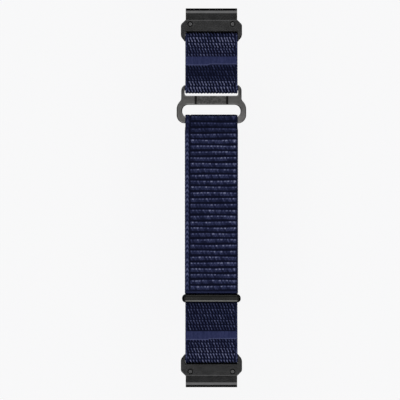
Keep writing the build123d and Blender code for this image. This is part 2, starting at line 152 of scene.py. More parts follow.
# Studio
FLOOR_HALF = 2500
FLOOR_DEPTH = 70
FLOOR_COLOUR = (0.11, 0.11, 0.112, 1)
FLOOR_GLOW = 0.885
BACKDROP_COLOUR = (0.95, 0.95, 0.955, 1)
PANEL_LOW_EDGE = (900, 400)  # of a light panel: distance along the band, height
PANEL_HIGH_EDGE = (330, 1050)
LIGHT_WIDTH = 0.9  # metres
LIGHT_WATTS = 5.6
SKY_RISE = (0.1, 0.75)  # the surroundings brighten between these heights of a unit sphere
SKY_STRENGTH = (0.03, 0.31)
LENS = 135
SENSOR_WIDTH = 36
NEAREST = 10  # what is nearer to the camera isn't drawn
CAMERA_PLACE = (-4.845, -0.935)
CAMERA_DISTANCE = 637.5  # above the bars

joints = {joint["name"]: joint for joint in frame["joints"]}


def joint_place(name):
    """The place of a joint's axis along the band and its height."""
    _, y, z = joints[name]["pos_m"]
    return y / MM, z / MM


def node_box(name):
    low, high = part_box(name)
    return np.array(low) / MM, np.array(high) / MM


UPPER_LINK_BAR, BAR_HEIGHT = joint_place("upper_end_link_swing")
BUCKLE_UPPER_BAR = joint_place("short_strap_swing")[0]
BUCKLE_LOWER_BAR = joint_place("strap_fold_swing")[0]
LOWER_LINK_BAR = joint_place("lower_end_link_swing")[0]
PEEL_LINE = joint_place("tail_peel")[0]
BEND_LINES = [joint_place(f"strap_bend_{number}")[0] for number in (1, 2, 3, 4)]
STRAP_HIGH = node_box("short_strap")[1]
TAIL_LOW, TAIL_HIGH = node_box("tail_link_4")
KEEPER_UPPER_EDGE = node_box("keeper")[1][1]
BUCKLE_TOP = node_box("buckle")[1][2]
PLATE_TOP = node_box("upper_frame")[1][2]
WEBBING_HALF = STRAP_HIGH[0] + SIDE_SPREAD
LOOP_MIDDLE = STRAP_HIGH[2] - BAR_HEIGHT - PLY / 2  # radius of the webbing's middle round a bar
UPPER_PLY = BAR_HEIGHT + PLY / 2
LOWER_PLY = BAR_HEIGHT - PLY / 2
TAIL_PLY = TAIL_HIGH[2] - PLY / 2
TAIL_TIP = TAIL_LOW[1]
WELD_END = LOWER_LINK_BAR + WELD_DISTANCE
STEP_FOOT = WELD_END + WELD_STEP
SHORT_WELD = (BUCKLE_UPPER_BAR + UPPER_LINK_BAR) / 2 + SHORT_WELD_SHIFT


# Paths: side views of the webbing's middle, as rows of (along the band, height)


def ease(t):
    t = np.clip(t, 0, 1)
    return t * t * (3 - 2 * t)


def run(start, end):
    """From one (place, height) to another, level at both ends."""
    t = np.linspace(0, 1, PATH_STEPS)[:, None]
    start, end = np.array(start), np.array(end)
    return np.hstack([start[0] + (end[0] - start[0]) * t, start[1] + (end[1] - start[1]) * ease(t)])


def turn(bar, first, last, fullness=1.0):
    """Round a bar, between two angles in degrees from straight along the band.

    A fullness of 1 gives a circle, and less gives a fuller curve.
    """
    angle = np.radians(np.linspace(first, last, PATH_STEPS))
    ahead = np.sign(np.cos(angle)) * np.abs(np.cos(angle)) ** fullness
    up = np.sign(np.sin(angle)) * np.abs(np.sin(angle)) ** fullness
    return np.column_stack([bar + LOOP_MIDDLE * ahead, BAR_HEIGHT + LOOP_MIDDLE * up])


def even_rows(parts):
    """Join parts of a path and space its points evenly. Gives them and their distance from the start."""
    points = np.vstack(parts)
    step = np.hypot(*np.diff(points, axis=0).T)
    keep = np.concatenate([[True], step > SAME_POINT])
    points = points[keep]
    length = np.concatenate([[0], np.cumsum(np.hypot(*np.diff(points, axis=0).T))])
    count = int(round(length[-1] / ROW_STEP)) + 1
    along = np.linspace(0, length[-1], count)
    return np.column_stack([np.interp(along, length, points[:, k]) for k in (0, 1)]), along


def short_strap_path():
    """The closed loop of the short strap, from its weld over the end link's bar and round the buckle's."""
    above = BAR_HEIGHT + LOOP_MIDDLE
    below = BAR_HEIGHT - LOOP_MIDDLE
    upper_join = UPPER_LINK_BAR - LOOP_TAPER
    lower_join = BUCKLE_UPPER_BAR + LOOP_TAPER
    return even_rows([
        run((SHORT_WELD, UPPER_PLY), (upper_join, UPPER_PLY)),
        run((upper_join, UPPER_PLY), (UPPER_LINK_BAR, above)),
        turn(UPPER_LINK_BAR, 90, -90, LINK_LOOP_FULLNESS),
        run((UPPER_LINK_BAR, below), (upper_join, LOWER_PLY)),
        run((upper_join, LOWER_PLY), (lower_join, LOWER_PLY)),
        run((lower_join, LOWER_PLY), (BUCKLE_UPPER_BAR, below)),
        turn(BUCKLE_UPPER_BAR, -90, -270),
        run((BUCKLE_UPPER_BAR, above), (lower_join, UPPER_PLY)),
        run((lower_join, UPPER_PLY), (SHORT_WELD, UPPER_PLY)),
    ])


def long_strap_path():
    """From the tail's tip round the buckle's lower bar, under the tail, and round the lower link's bar."""
    above = BAR_HEIGHT + LOOP_MIDDLE
    below = BAR_HEIGHT - LOOP_MIDDLE
    fold_join = BUCKLE_LOWER_BAR - LOOP_TAPER
    base_join = LOWER_LINK_BAR + LOOP_TAPER
    return even_rows([
        run((TAIL_TIP + TIP_SETBACK, TAIL_PLY), (fold_join, TAIL_PLY)),
        run((fold_join, TAIL_PLY), (BUCKLE_LOWER_BAR, above)),
        turn(BUCKLE_LOWER_BAR, 90, -90),
        run((BUCKLE_LOWER_BAR, below), (fold_join, LOWER_PLY)),
        run((fold_join, LOWER_PLY), (STEP_FOOT, LOWER_PLY)),
        run((STEP_FOOT, LOWER_PLY), (WELD_END, UPPER_PLY)),
        run((WELD_END, UPPER_PLY), (base_join, UPPER_PLY)),
        run((base_join, UPPER_PLY), (LOWER_LINK_BAR, above)),
        turn(LOWER_LINK_BAR, 90, 270, LINK_LOOP_FULLNESS),
        run((LOWER_LINK_BAR, below), (base_join, LOWER_PLY)),
        run((base_join, LOWER_PLY), (WELD_END, LOWER_PLY)),
    ])


# Stitch patterns: each gives the height (0 to 1) and the tone (0 to 1) of the yarn at points of one face.
# Lengths with MM in their comment are millimetres; the others are shares of a stitch across and of a row
# along. A pair is (place, half length) of a mark, or (least, how much more) of a height or tone.
# The tone is low where the yarn is low, so gaps and grooves carry painted shade as well as the pattern's own
# dark, and every glint is a painted highlight.

SCATTER_WEIGHTS = (127.1, 311.7, 74.7)  # large numbers with no common measure
SCATTER_GAIN = 43758.5453


def scatter(i, j, seed):
    """A number from 0 to 1 that looks random, but is always the same for the same stitch."""
    across, along, kind = SCATTER_WEIGHTS
    value = np.sin(i * across + j * along + seed * kind) * SCATTER_GAIN
    return value - np.floor(value)


def dome(distance, half):
    return np.sqrt(np.clip(1 - (distance / half) ** 2, 0, 1))


def mark(v, place_half):
    """A dome over a place, with this half length."""
    place, half = place_half
    return dome(v - place, half)


def vary(least_more, share):
    least, more = least_more
    return least + more * share


def cover(base, top, share):
    """base where share is 0, top where it is 1."""
    return base * (1 - share) + share * top


TWILL_PITCH = 2.4  # MM, from one row of slanted stitches to the next
TWILL_STITCH = 1.28  # MM, from one slanted stitch to the next
TWILL_SLANT = 0.46  # how far a stitch leans across for each millimetre along
TWILL_STAGGER = 0.43  # shift of each row against the last
TWILL_DRIFT = 0.22  # how far short lengths of a row wander
TWILL_DRIFT_LENGTH = 3.1  # MM
TWILL_YARN_HALF = (0.18, 0.06)
TWILL_STITCH_HALF = 0.46
TWILL_STITCH_CURVE = 0.8
TWILL_HEIGHT = (0.72, 0.28)
TWILL_TONE = (0.38, 0.24)
TWILL_SHINE = 0.16  # how much lighter some groups of stitches are
TWILL_SHINE_GROUP = 4  # stitches
TWILL_UPPER_END = (0.28, 0.16)
TWILL_UPPER_GLINT = (0.45, 0.55)
TWILL_UPPER_LIGHT = 0.85
TWILL_LOWER_END = (-0.26, 0.16)
TWILL_LOWER_GLINT = (0.15, 0.85)
TWILL_LOWER_LIGHT = 0.65
TWILL_CROSSING = (0.36, 0.12)  # where a thread crosses over the stitch
TWILL_CROSSING_HALF = 0.42
TWILL_CROSSING_GLINT = (0.2, 0.8)
TWILL_CROSSING_HEIGHT = 0.8
TWILL_CROSSING_TONE = 0.62
TWILL_SELVEDGE = 0.95  # MM
TWILL_SELVEDGE_EDGE = 0.15  # MM
TWILL_BEAD_LEAN = 0.5
TWILL_BEAD_HEIGHT = (0.25, 0.5)
TWILL_BEAD_TONE = (0.26, 0.42)
TWILL_BEAD_LENGTH = 1.2  # MM
TWILL_GROOVE_DEPTH = 0.85
TWILL_GROOVE_HALF = 0.22  # MM


def twill(x, s):
    """Rows of slanted stitches, with a dark line between rows and a narrow bound edge on each side."""
    row = np.floor(s / TWILL_PITCH)
    v = s / TWILL_PITCH - row - 0.5
    drift = TWILL_DRIFT * (scatter(row, np.floor(x / TWILL_DRIFT_LENGTH), seed=5) - 0.5)
    u = (x + TWILL_SLANT * v * TWILL_PITCH) / TWILL_STITCH + TWILL_STAGGER * row + drift
    stitch = np.floor(u)
    f = u - stitch - 0.5
    chance = scatter(row, stitch, seed=1)
    yarn = dome(f, vary(TWILL_YARN_HALF, chance)) * dome(v, TWILL_STITCH_HALF) ** TWILL_STITCH_CURVE
    height = yarn * vary(TWILL_HEIGHT, chance)
    # Painted highlights: lighter tone at both ends of each stitch and where a thread crosses it
    upper_end = mark(v, TWILL_UPPER_END) * vary(TWILL_UPPER_GLINT, scatter(row, stitch, seed=2))
    lower_end = mark(v, TWILL_LOWER_END) * vary(TWILL_LOWER_GLINT, scatter(row, stitch, seed=8))
    shine = scatter(row, np.floor(u / TWILL_SHINE_GROUP), seed=9)
    tone = yarn * (vary(TWILL_TONE, chance) + TWILL_SHINE * shine)
    tone = tone + yarn * (TWILL_UPPER_LIGHT * upper_end + TWILL_LOWER_LIGHT * lower_end)
    glint = vary(TWILL_CROSSING_GLINT, scatter(row, stitch, seed=6))
    crossing = mark(v, TWILL_CROSSING) * dome(f, TWILL_CROSSING_HALF) * glint
    height = np.maximum(height, TWILL_CROSSING_HEIGHT * crossing)
    tone = np.maximum(tone, TWILL_CROSSING_TONE * crossing)
    edge = WEBBING_HALF - np.abs(x)
    side = ease((TWILL_SELVEDGE - edge) / TWILL_SELVEDGE_EDGE)
    bead = np.abs(np.sin(math.pi * (s / (TWILL_PITCH / 2) + np.sign(x) * edge * TWILL_BEAD_LEAN)))
    bead_chance = scatter(np.floor(s / TWILL_BEAD_LENGTH), np.sign(x), seed=3)
    height = cover(height, vary(TWILL_BEAD_HEIGHT, bead), side)
    tone = cover(tone, vary(TWILL_BEAD_TONE, bead * bead_chance), side)
    # The groove inside each selvedge is sunk and painted darker by the same share, as shade
    groove = 1 - TWILL_GROOVE_DEPTH * dome(edge - TWILL_SELVEDGE, TWILL_GROOVE_HALF)
    return height * groove, tone * groove


RIB_PITCH = 2.48  # MM, from one rib to the next
RIB_STITCH = 1.4  # MM, from one knuckle to the next
RIB_BOW = 0.035
RIB_BOW_RATE = 0.28  # radians for each millimetre across
RIB_BOW_PHASE = 1.7  # radians for each row
RIB_DRIFT = 0.03
RIB_DRIFT_LENGTH = 2.3  # MM
RIB_FOOT = 0.20
RIB_RISE = 0.2
RIB_FALL = 0.12
RIB_STAGGER = 0.2
RIB_KNUCKLE = (0.82, 0.15)
RIB_KNUCKLE_HALF = 0.42
RIB_KNUCKLE_HEIGHT = 0.25
RIB_KNUCKLE_TONE = (0.2, 0.5)
RIB_STRAND_PITCH = 0.74  # MM
RIB_STRAND_SLANT = 0.5  # how far a strand leans across for each millimetre along
RIB_HEIGHT = (0.55, 0.2)
RIB_TONE = (0.18, 0.44)
RIB_PIT = (0.1, 0.12)
RIB_PIT_HALF = 0.3
RIB_PIT_DEPTH = 0.2
RIB_PIT_SHADE = 0.25
RIB_LEFT_SELVEDGE = 2.1  # MM
RIB_RIGHT_SELVEDGE = 0.6  # MM
RIB_SELVEDGE_EDGE = 0.12  # MM
CHAIN_PITCH = 1.97  # MM, of the chain stitch on the left selvedge
CHAIN_SLANT = 0.75  # how far a link's legs trail for each millimetre from its middle
CHAIN_LINK_HALF = 0.36
CHAIN_MIDDLE_HALF = 0.35  # MM
CHAIN_ROUNDING = (0.65, 0.35)
CHAIN_HEIGHT = (0.3, 0.6)
CHAIN_TONE = (0.22, 0.66)
CHAIN_GLINT = (0.4, 0.6)
RIB_BEAD_LENGTH = CHAIN_PITCH / 1.6  # of the right selvedge
RIB_BEAD_HEIGHT = (0.3, 0.4)
RIB_BEAD_TONE = (0.2, 0.25)
RIB_COLUMN = (1.55, 0.4)  # MM from the right edge: a column of lighter stitches
RIB_COLUMN_ROW = (0.75, 0.3)
RIB_COLUMN_TONE = 0.7
RIB_COLUMN_HEIGHT = 0.2
RIB_LEFT_GROOVE_HALF = 0.34  # MM
RIB_RIGHT_GROOVE_HALF = 0.2  # MM
RIB_RIGHT_GROOVE_DEPTH = 0.7


def chain(s, from_middle):
    """The links of a chain stitch along the webbing, and a number from 0 to 1 for each link."""
    link = s / CHAIN_PITCH + CHAIN_SLANT * np.abs(from_middle)
    number = np.floor(link)
    rounding = vary(CHAIN_ROUNDING, dome(from_middle, CHAIN_MIDDLE_HALF))
    return dome(link - number - 0.5, CHAIN_LINK_HALF) * rounding, scatter(number, 0 * link, seed=13)


def rib(x, s):
    """Ribs across the webbing, each with a line of knuckles along its upper edge, and wide bound edges."""
    row = np.floor(s / RIB_PITCH)
    drift = RIB_DRIFT * (scatter(row, np.floor(x / RIB_DRIFT_LENGTH), seed=7) - 0.5)
    bow = RIB_BOW * np.sin(x * RIB_BOW_RATE + row * RIB_BOW_PHASE) + drift
    v = np.clip(s / RIB_PITCH - row + bow, 0, 1)
    body = ease((v - RIB_FOOT) / RIB_RISE) * ease((1.0 - v) / RIB_FALL)
    u = x / RIB_STITCH + 0.5 * (row % 2) + RIB_STAGGER * (scatter(row, 0 * row, seed=4) - 0.5)
    stitch = np.floor(u)
    f = u - stitch - 0.5
    knuckle = dome(f, RIB_KNUCKLE_HALF) * mark(v, RIB_KNUCKLE)
    lean = (x + RIB_STRAND_SLANT * s) / RIB_STRAND_PITCH
    strand = np.abs(np.sin(math.pi * lean))
    thread = scatter(np.floor(lean), row, seed=12)
    pit = dome(f, RIB_PIT_HALF) * mark(v, RIB_PIT)
    height = body * vary(RIB_HEIGHT, strand) + RIB_KNUCKLE_HEIGHT * knuckle * body - RIB_PIT_DEPTH * pit
    knuckle_tone = vary(RIB_KNUCKLE_TONE, scatter(row, stitch, seed=11))
    tone = body * vary(RIB_TONE, strand * thread) + knuckle * knuckle_tone - RIB_PIT_SHADE * pit
    left = x + WEBBING_HALF
    right = WEBBING_HALF - x
    left_side = ease((RIB_LEFT_SELVEDGE - left) / RIB_SELVEDGE_EDGE)
    right_side = ease((RIB_RIGHT_SELVEDGE - right) / RIB_SELVEDGE_EDGE)
    links, link_chance = chain(s, left - RIB_LEFT_SELVEDGE / 2)
    height = cover(height, vary(CHAIN_HEIGHT, links), left_side)
    tone = cover(tone, vary(CHAIN_TONE, links * vary(CHAIN_GLINT, link_chance)), left_side)
    bead = np.abs(np.sin(math.pi * s / RIB_BEAD_LENGTH))
    height = cover(height, vary(RIB_BEAD_HEIGHT, bead), right_side)
    tone = cover(tone, vary(RIB_BEAD_TONE, bead), right_side)
    column = mark(right, RIB_COLUMN) * mark(v, RIB_COLUMN_ROW)
    tone = tone + RIB_COLUMN_TONE * column * scatter(row, 0 * row, seed=14)
    height = height + RIB_COLUMN_HEIGHT * column
    # The grooves inside the selvedges are sunk and painted darker by the same share, as shade
    left_groove = 1 - dome(left - RIB_LEFT_SELVEDGE, RIB_LEFT_GROOVE_HALF)
    right_groove = 1 - RIB_RIGHT_GROOVE_DEPTH * dome(right - RIB_RIGHT_SELVEDGE, RIB_RIGHT_GROOVE_HALF)
    groove = left_groove * right_groove
    return np.clip(height, 0, 1) * groove, np.clip(tone, 0, 1) * groove


# Lengths of the pressed band, all MM, and its heights and tones
PRESS_STEP = 0.4  # the band's lower edge steps up by this
PRESS_STEP_START = -1.6  # across the webbing
PRESS_STEP_WIDTH = 1.0
PRESS_LOWER_EDGE = 0.12
PRESS_UPPER_EDGE = 0.2
PRESS_STREAK_WIDTH = 0.33
PRESS_GRAIN_LENGTH = 0.9
PRESS_TONE = (0.27, 0.13)
PRESS_GRAIN_TONE = 0.12
PRESS_HEIGHT = (0.5, 0.06)
PRESS_RIDGE = (0.1, 0.24)
PRESS_RIDGE_HEIGHT = 0.8
PRESS_RIDGE_HIGHLIGHT = 0.74


def pressed(x, s, first, last, height, tone):
    """The same face with a smooth pressed band between two places, and a ridge at its lower edge whose light
    tone is a painted highlight.
    """
    lower = first + PRESS_STEP * ease((x - PRESS_STEP_START) / PRESS_STEP_WIDTH)
    band = ease((s - lower) / PRESS_LOWER_EDGE) * ease((last - s) / PRESS_UPPER_EDGE)
    strip = np.floor(x / PRESS_STREAK_WIDTH)
    streak = scatter(strip, 0 * x, seed=21)
    grain = scatter(strip, np.floor(s / PRESS_GRAIN_LENGTH), seed=22)
    # The ridge's light tone is a painted highlight
    ridge = mark(s - lower, PRESS_RIDGE)
    height = cover(height, vary(PRESS_HEIGHT, streak), band)
    tone = cover(tone, vary(PRESS_TONE, streak) + PRESS_GRAIN_TONE * grain, band)
    return np.maximum(height, PRESS_RIDGE_HEIGHT * ridge), np.maximum(tone, PRESS_RIDGE_HIGHLIGHT * ridge), band


# Meshes


def mesh_object(name, verts, faces, values=(), smooth=True):
    """A mesh object from millimetre points. values are (name, numbers) for each point."""
    mesh = bpy.data.meshes.new(name)
    mesh.from_pydata((np.asarray(verts, float) * MM).tolist(), [], faces)
    mesh.update()
    for label, numbers in values:
        layer = mesh.attributes.new(label, "FLOAT", "POINT")
        layer.data.foreach_set("value", np.asarray(numbers, np.float32).ravel())
    if smooth:
        mesh.polygons.foreach_set("use_smooth", [True] * len(mesh.polygons))
    piece = bpy.data.objects.new(name, mesh)
    bpy.context.scene.collection.objects.link(piece)
    return piece


def section():
    """The webbing's closed cross section: place across, height off the middle, and the way it faces."""
    flat_half = WEBBING_HALF - SIDE_RELIEF - EDGE_ROUND
    base = PLY / 2 - RELIEF
    flat = np.linspace(-flat_half, flat_half, COLUMNS)
    angle = np.linspace(0, math.pi, EDGE_STEPS + 2)[1:-1]
    out, up = np.sin(angle), np.cos(angle)
    level, straight_up = np.zeros(COLUMNS), np.ones(COLUMNS)
    x = [flat, flat_half + EDGE_ROUND * out, flat[::-1], -flat_half - EDGE_ROUND * out]
    h = [base * straight_up, base * up, -base * straight_up, -base * up]
    nx = [level, out, level, -out]
    nh = [straight_up, up, -straight_up, -up]
    return [np.concatenate(part) for part in (x, h, nx, nh)]


def sleeve_faces(rows, cols, closed):
    """Faces between rows of points that each go round the section, with end caps unless the rows close."""
    i = np.arange(rows if closed else rows - 1)[:, None]
    j = np.arange(cols)[None, :]
    next_i = (i + 1) % rows
    next_j = (j + 1) % cols
    quads = np.stack([i * cols + j, i * cols + next_j, next_i * cols + next_j, next_i * cols + j], axis=-1)
    faces = quads.reshape(-1, 4).tolist()
    if not closed:
        faces.append(list(range(cols))[::-1])
        faces.append([(rows - 1) * cols + k for k in range(cols)])
    return faces


def webbing(name, points, along, left, right, closed=False, spread=None):
    """A strip of webbing along a path. left and right give height, tone and smoothness on its two faces.

    The left face is on the left of someone who walks along the path with +X towards them. spread, if given,
    says how much further the selvedges stand out at each row.
    """
    x, h, nx, nh = section()
    if closed:
        points, along = points[:-1], along[:-1]
        tangent = np.roll(points, -1, axis=0) - np.roll(points, 1, axis=0)
    else:
        tangent = np.gradient(points, axis=0)
    tangent /= np.hypot(*tangent.T)[:, None]
    normal = np.column_stack([-tangent[:, 1], tangent[:, 0]])
    grid_x = np.broadcast_to(x, (len(points), len(x)))
    grid_s = np.broadcast_to(along[:, None], grid_x.shape)
    place = np.broadcast_to(points[:, 0][:, None], grid_x.shape)
    share = (nh + 1) / 2  # 1 on the left face, 0 on the right
    faces_given = zip(left(grid_x, grid_s, place), right(grid_x, grid_s, place))
    height, tone, smooth = (on_left * share + on_right * (1 - share) for on_left, on_right in faces_given)
    lift = height * (RELIEF * np.abs(nh) + SIDE_RELIEF * np.abs(nx))
    off = h + lift * nh
    out_x = grid_x + lift * nx
    if spread is not None:
        out_x = out_x * (1 + spread / WEBBING_HALF)[:, None]
    y = points[:, 0][:, None] + normal[:, 0][:, None] * off
    z = points[:, 1][:, None] + normal[:, 1][:, None] * off
    verts = np.stack([out_x, y, z], axis=-1).reshape(-1, 3)
    values = [("tone", tone), ("smooth", smooth), ("across", grid_x), ("along", grid_s)]
    return mesh_object(name, verts, sleeve_faces(*grid_x.shape, closed), values)


# Materials

SHADER = "Principled BSDF"
FIBRE_SCALE = 7.5
PATCH_SCALE = 0.42
FIBRE_FADE = 0.16  # how much the fibres add to the tone
PATCH_FADE = 0.12  # how much broad patches add
FADE_MIDDLE = 0.14  # taken off again, so that the tone stays even
YARN_ROUGHNESS = (0.62, 0.9)
STRAND_SCALE = 1.6
STRAND_DISTORTION = 3.0
YARN_BUMP = 0.06
YARN_BUMP_STRENGTH = 0.5
SHEEN = 0.004
SHEEN_ROUGHNESS = 0.45
SHEEN_TINT = (0.45, 0.5, 0.85, 1)
YARN_SPECULAR = 0.04
GRAIN_TO_BROAD = 14  # fine grains in one broad patch of a metal coat
GRAIN_SHARE = 0.5  # of the fine grain and of the broad patches in the coat's colour
BLASTED = (1, 1, 1)  # grain the same in all directions
FINE_GRAIN = 5200
COAT_STOPS = (0.3, 0.7)
ROUGHNESS_RANGE = 0.07
COAT_BUMP = 0.02
COAT_BUMP_STRENGTH = 0.25


def new_material(name):
    material = bpy.data.materials.new(name)
    material.use_nodes = True
    nodes, links = material.node_tree.nodes, material.node_tree.links
    return material, nodes, links, nodes[SHADER]


def add(nodes, kind, **settings):
    """A shader node with its properties and its unlinked inputs set by name."""
    node = nodes.new(kind)
    for key, value in settings.items():
        if key in node.inputs:
            node.inputs[key].default_value = value
        else:
            setattr(node, key, value)
    return node


def attribute(nodes, name):
    return add(nodes, "ShaderNodeAttribute", attribute_name=name).outputs["Fac"]


def axis_of(nodes, links, place, axis):
    split = add(nodes, "ShaderNodeSeparateXYZ")
    links.new(place, split.inputs[0])
    return split.outputs[axis]


def ranged(nodes, links, value, low, high, start=0.0, end=1.0):
    """low where value is start, high where it is end, and even between."""
    node = add(nodes, "ShaderNodeMapRange")
    node.inputs["From Min"].default_value = start
    node.inputs["From Max"].default_value = end
    node.inputs["To Min"].default_value = low
    node.inputs["To Max"].default_value = high
    links.new(value, node.inputs["Value"])
    return node.outputs["Result"]


def weighted(nodes, links, value, weight, rest):
    """value times a number, plus rest."""
    node = add(nodes, "ShaderNodeMath", operation="MULTIPLY_ADD")
    node.inputs[1].default_value = weight
    links.new(value, node.inputs[0])
    links.new(rest, node.inputs[2])
    return node.outputs[0]


def scaled(nodes, links, colour, factor):
    node = add(nodes, "ShaderNodeVectorMath", operation="SCALE")
    links.new(colour, node.inputs[0])
    links.new(factor, node.inputs["Scale"])
    return node.outputs["Vector"]


def ramp(nodes, links, value, stops):
    """The colour of a value on a ramp of (place, colour) stops."""
    node = add(nodes, "ShaderNodeValToRGB")
    elements = node.color_ramp.elements
    while len(elements) < len(stops):
        elements.new(0.5)
    for element, (place, colour) in zip(elements, stops):
        element.position = place
        element.color = (*colour, 1)
    links.new(value, node.inputs["Fac"])
    return node.outputs["Color"]


def raise_bumps(nodes, links, shader, height, strength, distance):
    bump = add(nodes, "ShaderNodeBump", Strength=strength, Distance=distance * MM)
    links.new(height, bump.inputs["Height"])
    links.new(bump.outputs["Normal"], shader.inputs["Normal"])


def webbing_material(name, stops, pressed_stops):
    """Navy yarn: its colour follows the stitch's tone, bluer where pressed, and fibres vary it."""
    material, nodes, links, shader = new_material(name)
    place = add(nodes, "ShaderNodeCombineXYZ")
    links.new(attribute(nodes, "across"), place.inputs["X"])
    links.new(attribute(nodes, "along"), place.inputs["Y"])
    fibres = add(nodes, "ShaderNodeTexNoise", Scale=FIBRE_SCALE, Detail=3.0, Roughness=0.62)
    patches = add(nodes, "ShaderNodeTexNoise", Scale=PATCH_SCALE, Detail=2.0)
    links.new(place.outputs[0], fibres.inputs["Vector"])
    links.new(place.outputs[0], patches.inputs["Vector"])
    fuzz = weighted(nodes, links, fibres.outputs["Fac"], FIBRE_FADE, attribute(nodes, "tone"))
    fade = weighted(nodes, links, patches.outputs["Fac"], PATCH_FADE, fuzz)
    shift = add(nodes, "ShaderNodeMath", operation="SUBTRACT")
    shift.inputs[1].default_value = FADE_MIDDLE
    links.new(fade, shift.inputs[0])
    dyed = add(nodes, "ShaderNodeMixRGB")
    links.new(attribute(nodes, "smooth"), dyed.inputs["Fac"])
    links.new(ramp(nodes, links, shift.outputs[0], stops), dyed.inputs["Color1"])
    links.new(ramp(nodes, links, shift.outputs[0], pressed_stops), dyed.inputs["Color2"])
    links.new(dyed.outputs["Color"], shader.inputs["Base Color"])
    links.new(ranged(nodes, links, fibres.outputs["Fac"], *YARN_ROUGHNESS), shader.inputs["Roughness"])
    strands = add(
        nodes, "ShaderNodeTexWave", wave_type="BANDS", bands_direction="DIAGONAL",
        Scale=STRAND_SCALE, Distortion=STRAND_DISTORTION,
    )
    links.new(place.outputs[0], strands.inputs["Vector"])
    mixed = add(nodes, "ShaderNodeMath", operation="ADD")
    links.new(strands.outputs["Fac"], mixed.inputs[0])
    links.new(fibres.outputs["Fac"], mixed.inputs[1])
    raise_bumps(nodes, links, shader, mixed.outputs[0], YARN_BUMP_STRENGTH, YARN_BUMP)
    shader.inputs["Sheen Weight"].default_value = SHEEN
    shader.inputs["Sheen Roughness"].default_value = SHEEN_ROUGHNESS
    shader.inputs["Sheen Tint"].default_value = SHEEN_TINT
    shader.inputs["Specular IOR Level"].default_value = YARN_SPECULAR
    return material


def painted_shade(nodes, links, place, colour, level, axis, start, end):
    """Painted shade: blend from a darkened colour at one place along an axis to the full colour at another.
    """
    along = axis_of(nodes, links, place, axis)
    return scaled(nodes, links, colour, ranged(nodes, links, along, level, 1.0, start * MM, end * MM))


def within(nodes, links, place, axis, middle, half):
    """1 between two places along an axis, 0 outside them."""
    inside = add(nodes, "ShaderNodeMath", operation="COMPARE")
    inside.inputs[1].default_value = middle * MM
    inside.inputs[2].default_value = half * MM
    links.new(axis_of(nodes, links, place, axis), inside.inputs[0])
    return inside.outputs[0]


def textured_panel(material, middle):
    """Darken a panel of the coat at a place along the band, and give it a fine irregular texture."""
    nodes, links = material.node_tree.nodes, material.node_tree.links
    base = nodes[SHADER].inputs["Base Color"]
    place = add(nodes, "ShaderNodeTexCoord").outputs["Object"]
    panel = add(nodes, "ShaderNodeMath", operation="MULTIPLY")
    links.new(within(nodes, links, place, "X", 0, PANEL_HALF_WIDTH), panel.inputs[0])
    links.new(within(nodes, links, place, "Y", middle, PANEL_HALF_LENGTH), panel.inputs[1])
    cells = add(nodes, "ShaderNodeTexVoronoi", Scale=PANEL_SCALE)
    links.new(place, cells.inputs["Vector"])
    darkest, lightest = (PANEL_LEVEL * mark_level for mark_level in PANEL_MARKS)
    level = add(nodes, "ShaderNodeMix", A=1.0)
    links.new(panel.outputs[0], level.inputs["Factor"])
    links.new(ranged(nodes, links, cells.outputs["Distance"], darkest, lightest), level.inputs["B"])
    links.new(scaled(nodes, links, base.links[0].from_socket, level.outputs["Result"]), base)


def coat_material(name, colours, rough, grain=FINE_GRAIN, stretch=BLASTED, metallic=1.0, shades=()):
    """Metal or plastic with a grain in its colour, roughness and surface, stretched along a direction.

    Each shade is painted shade that darkens the colour towards one place along an axis, as the blend above
    does.
    """
    material, nodes, links, shader = new_material(name)
    place = add(nodes, "ShaderNodeTexCoord").outputs["Object"]
    mapping = add(nodes, "ShaderNodeMapping", Scale=stretch)
    links.new(place, mapping.inputs["Vector"])
    fine = add(nodes, "ShaderNodeTexNoise", Scale=grain, Detail=3.0, Roughness=0.6)
    broad = add(nodes, "ShaderNodeTexNoise", Scale=grain / GRAIN_TO_BROAD, Detail=2.0)
    links.new(mapping.outputs[0], fine.inputs["Vector"])
    links.new(place, broad.inputs["Vector"])
    patches = add(nodes, "ShaderNodeMath", operation="MULTIPLY")
    patches.inputs[1].default_value = GRAIN_SHARE
    links.new(broad.outputs["Fac"], patches.inputs[0])
    blend = weighted(nodes, links, fine.outputs["Fac"], GRAIN_SHARE, patches.outputs[0])
    coat_and_shade = ramp(nodes, links, blend, list(zip(COAT_STOPS, colours)))
    # Painted shade, darkening the colour towards one place along an axis
    for shade in shades:
        coat_and_shade = painted_shade(nodes, links, place, coat_and_shade, *shade)
    links.new(coat_and_shade, shader.inputs["Base Color"])
    roughness = ranged(nodes, links, blend, rough - ROUGHNESS_RANGE, rough + ROUGHNESS_RANGE)
    links.new(roughness, shader.inputs["Roughness"])
    raise_bumps(nodes, links, shader, fine.outputs["Fac"], COAT_BUMP_STRENGTH, COAT_BUMP)
    shader.inputs["Metallic"].default_value = metallic
    return material


NAVY = [
    (0.0, (0.0022, 0.0030, 0.011)),
    (0.22, (0.0078, 0.0102, 0.032)),
    (0.5, (0.028, 0.034, 0.086)),
    (0.8, (0.090, 0.100, 0.185)),
    (1.0, (0.20, 0.21, 0.32)),
]
PRESSED_NAVY = [
    (0.0, (0.006, 0.008, 0.024)),
    (0.35, (0.020, 0.025, 0.074)),
    (0.5, (0.031, 0.037, 0.100)),
    (1.0, (0.13, 0.14, 0.27)),
]
ALONG_BRUSHED = (1, 0.12, 1)
ACROSS_BRUSHED = (0.12, 1, 1)
KEEPER_GRAIN = 4200
PLASTIC_GRAIN = 3200

# Each painted shade: level, axis, where it is darkest, where it ends
PLATE_SHADE = (0.15, "Z", PLATE_TOP - 0.15, PLATE_TOP - 0.01)
BUCKLE_EDGE_SHADE = (0.12, "Z", BUCKLE_TOP - 0.14, BUCKLE_TOP - 0.01)
BUCKLE_TOP_SHADE = (0.4, "Y", BUCKLE_UPPER_BAR + 1, BUCKLE_LOWER_BAR + 1)
KEEPER_SHADE = (0.3, "Y", KEEPER_UPPER_EDGE - 0.5, KEEPER_UPPER_EDGE - 1.1)

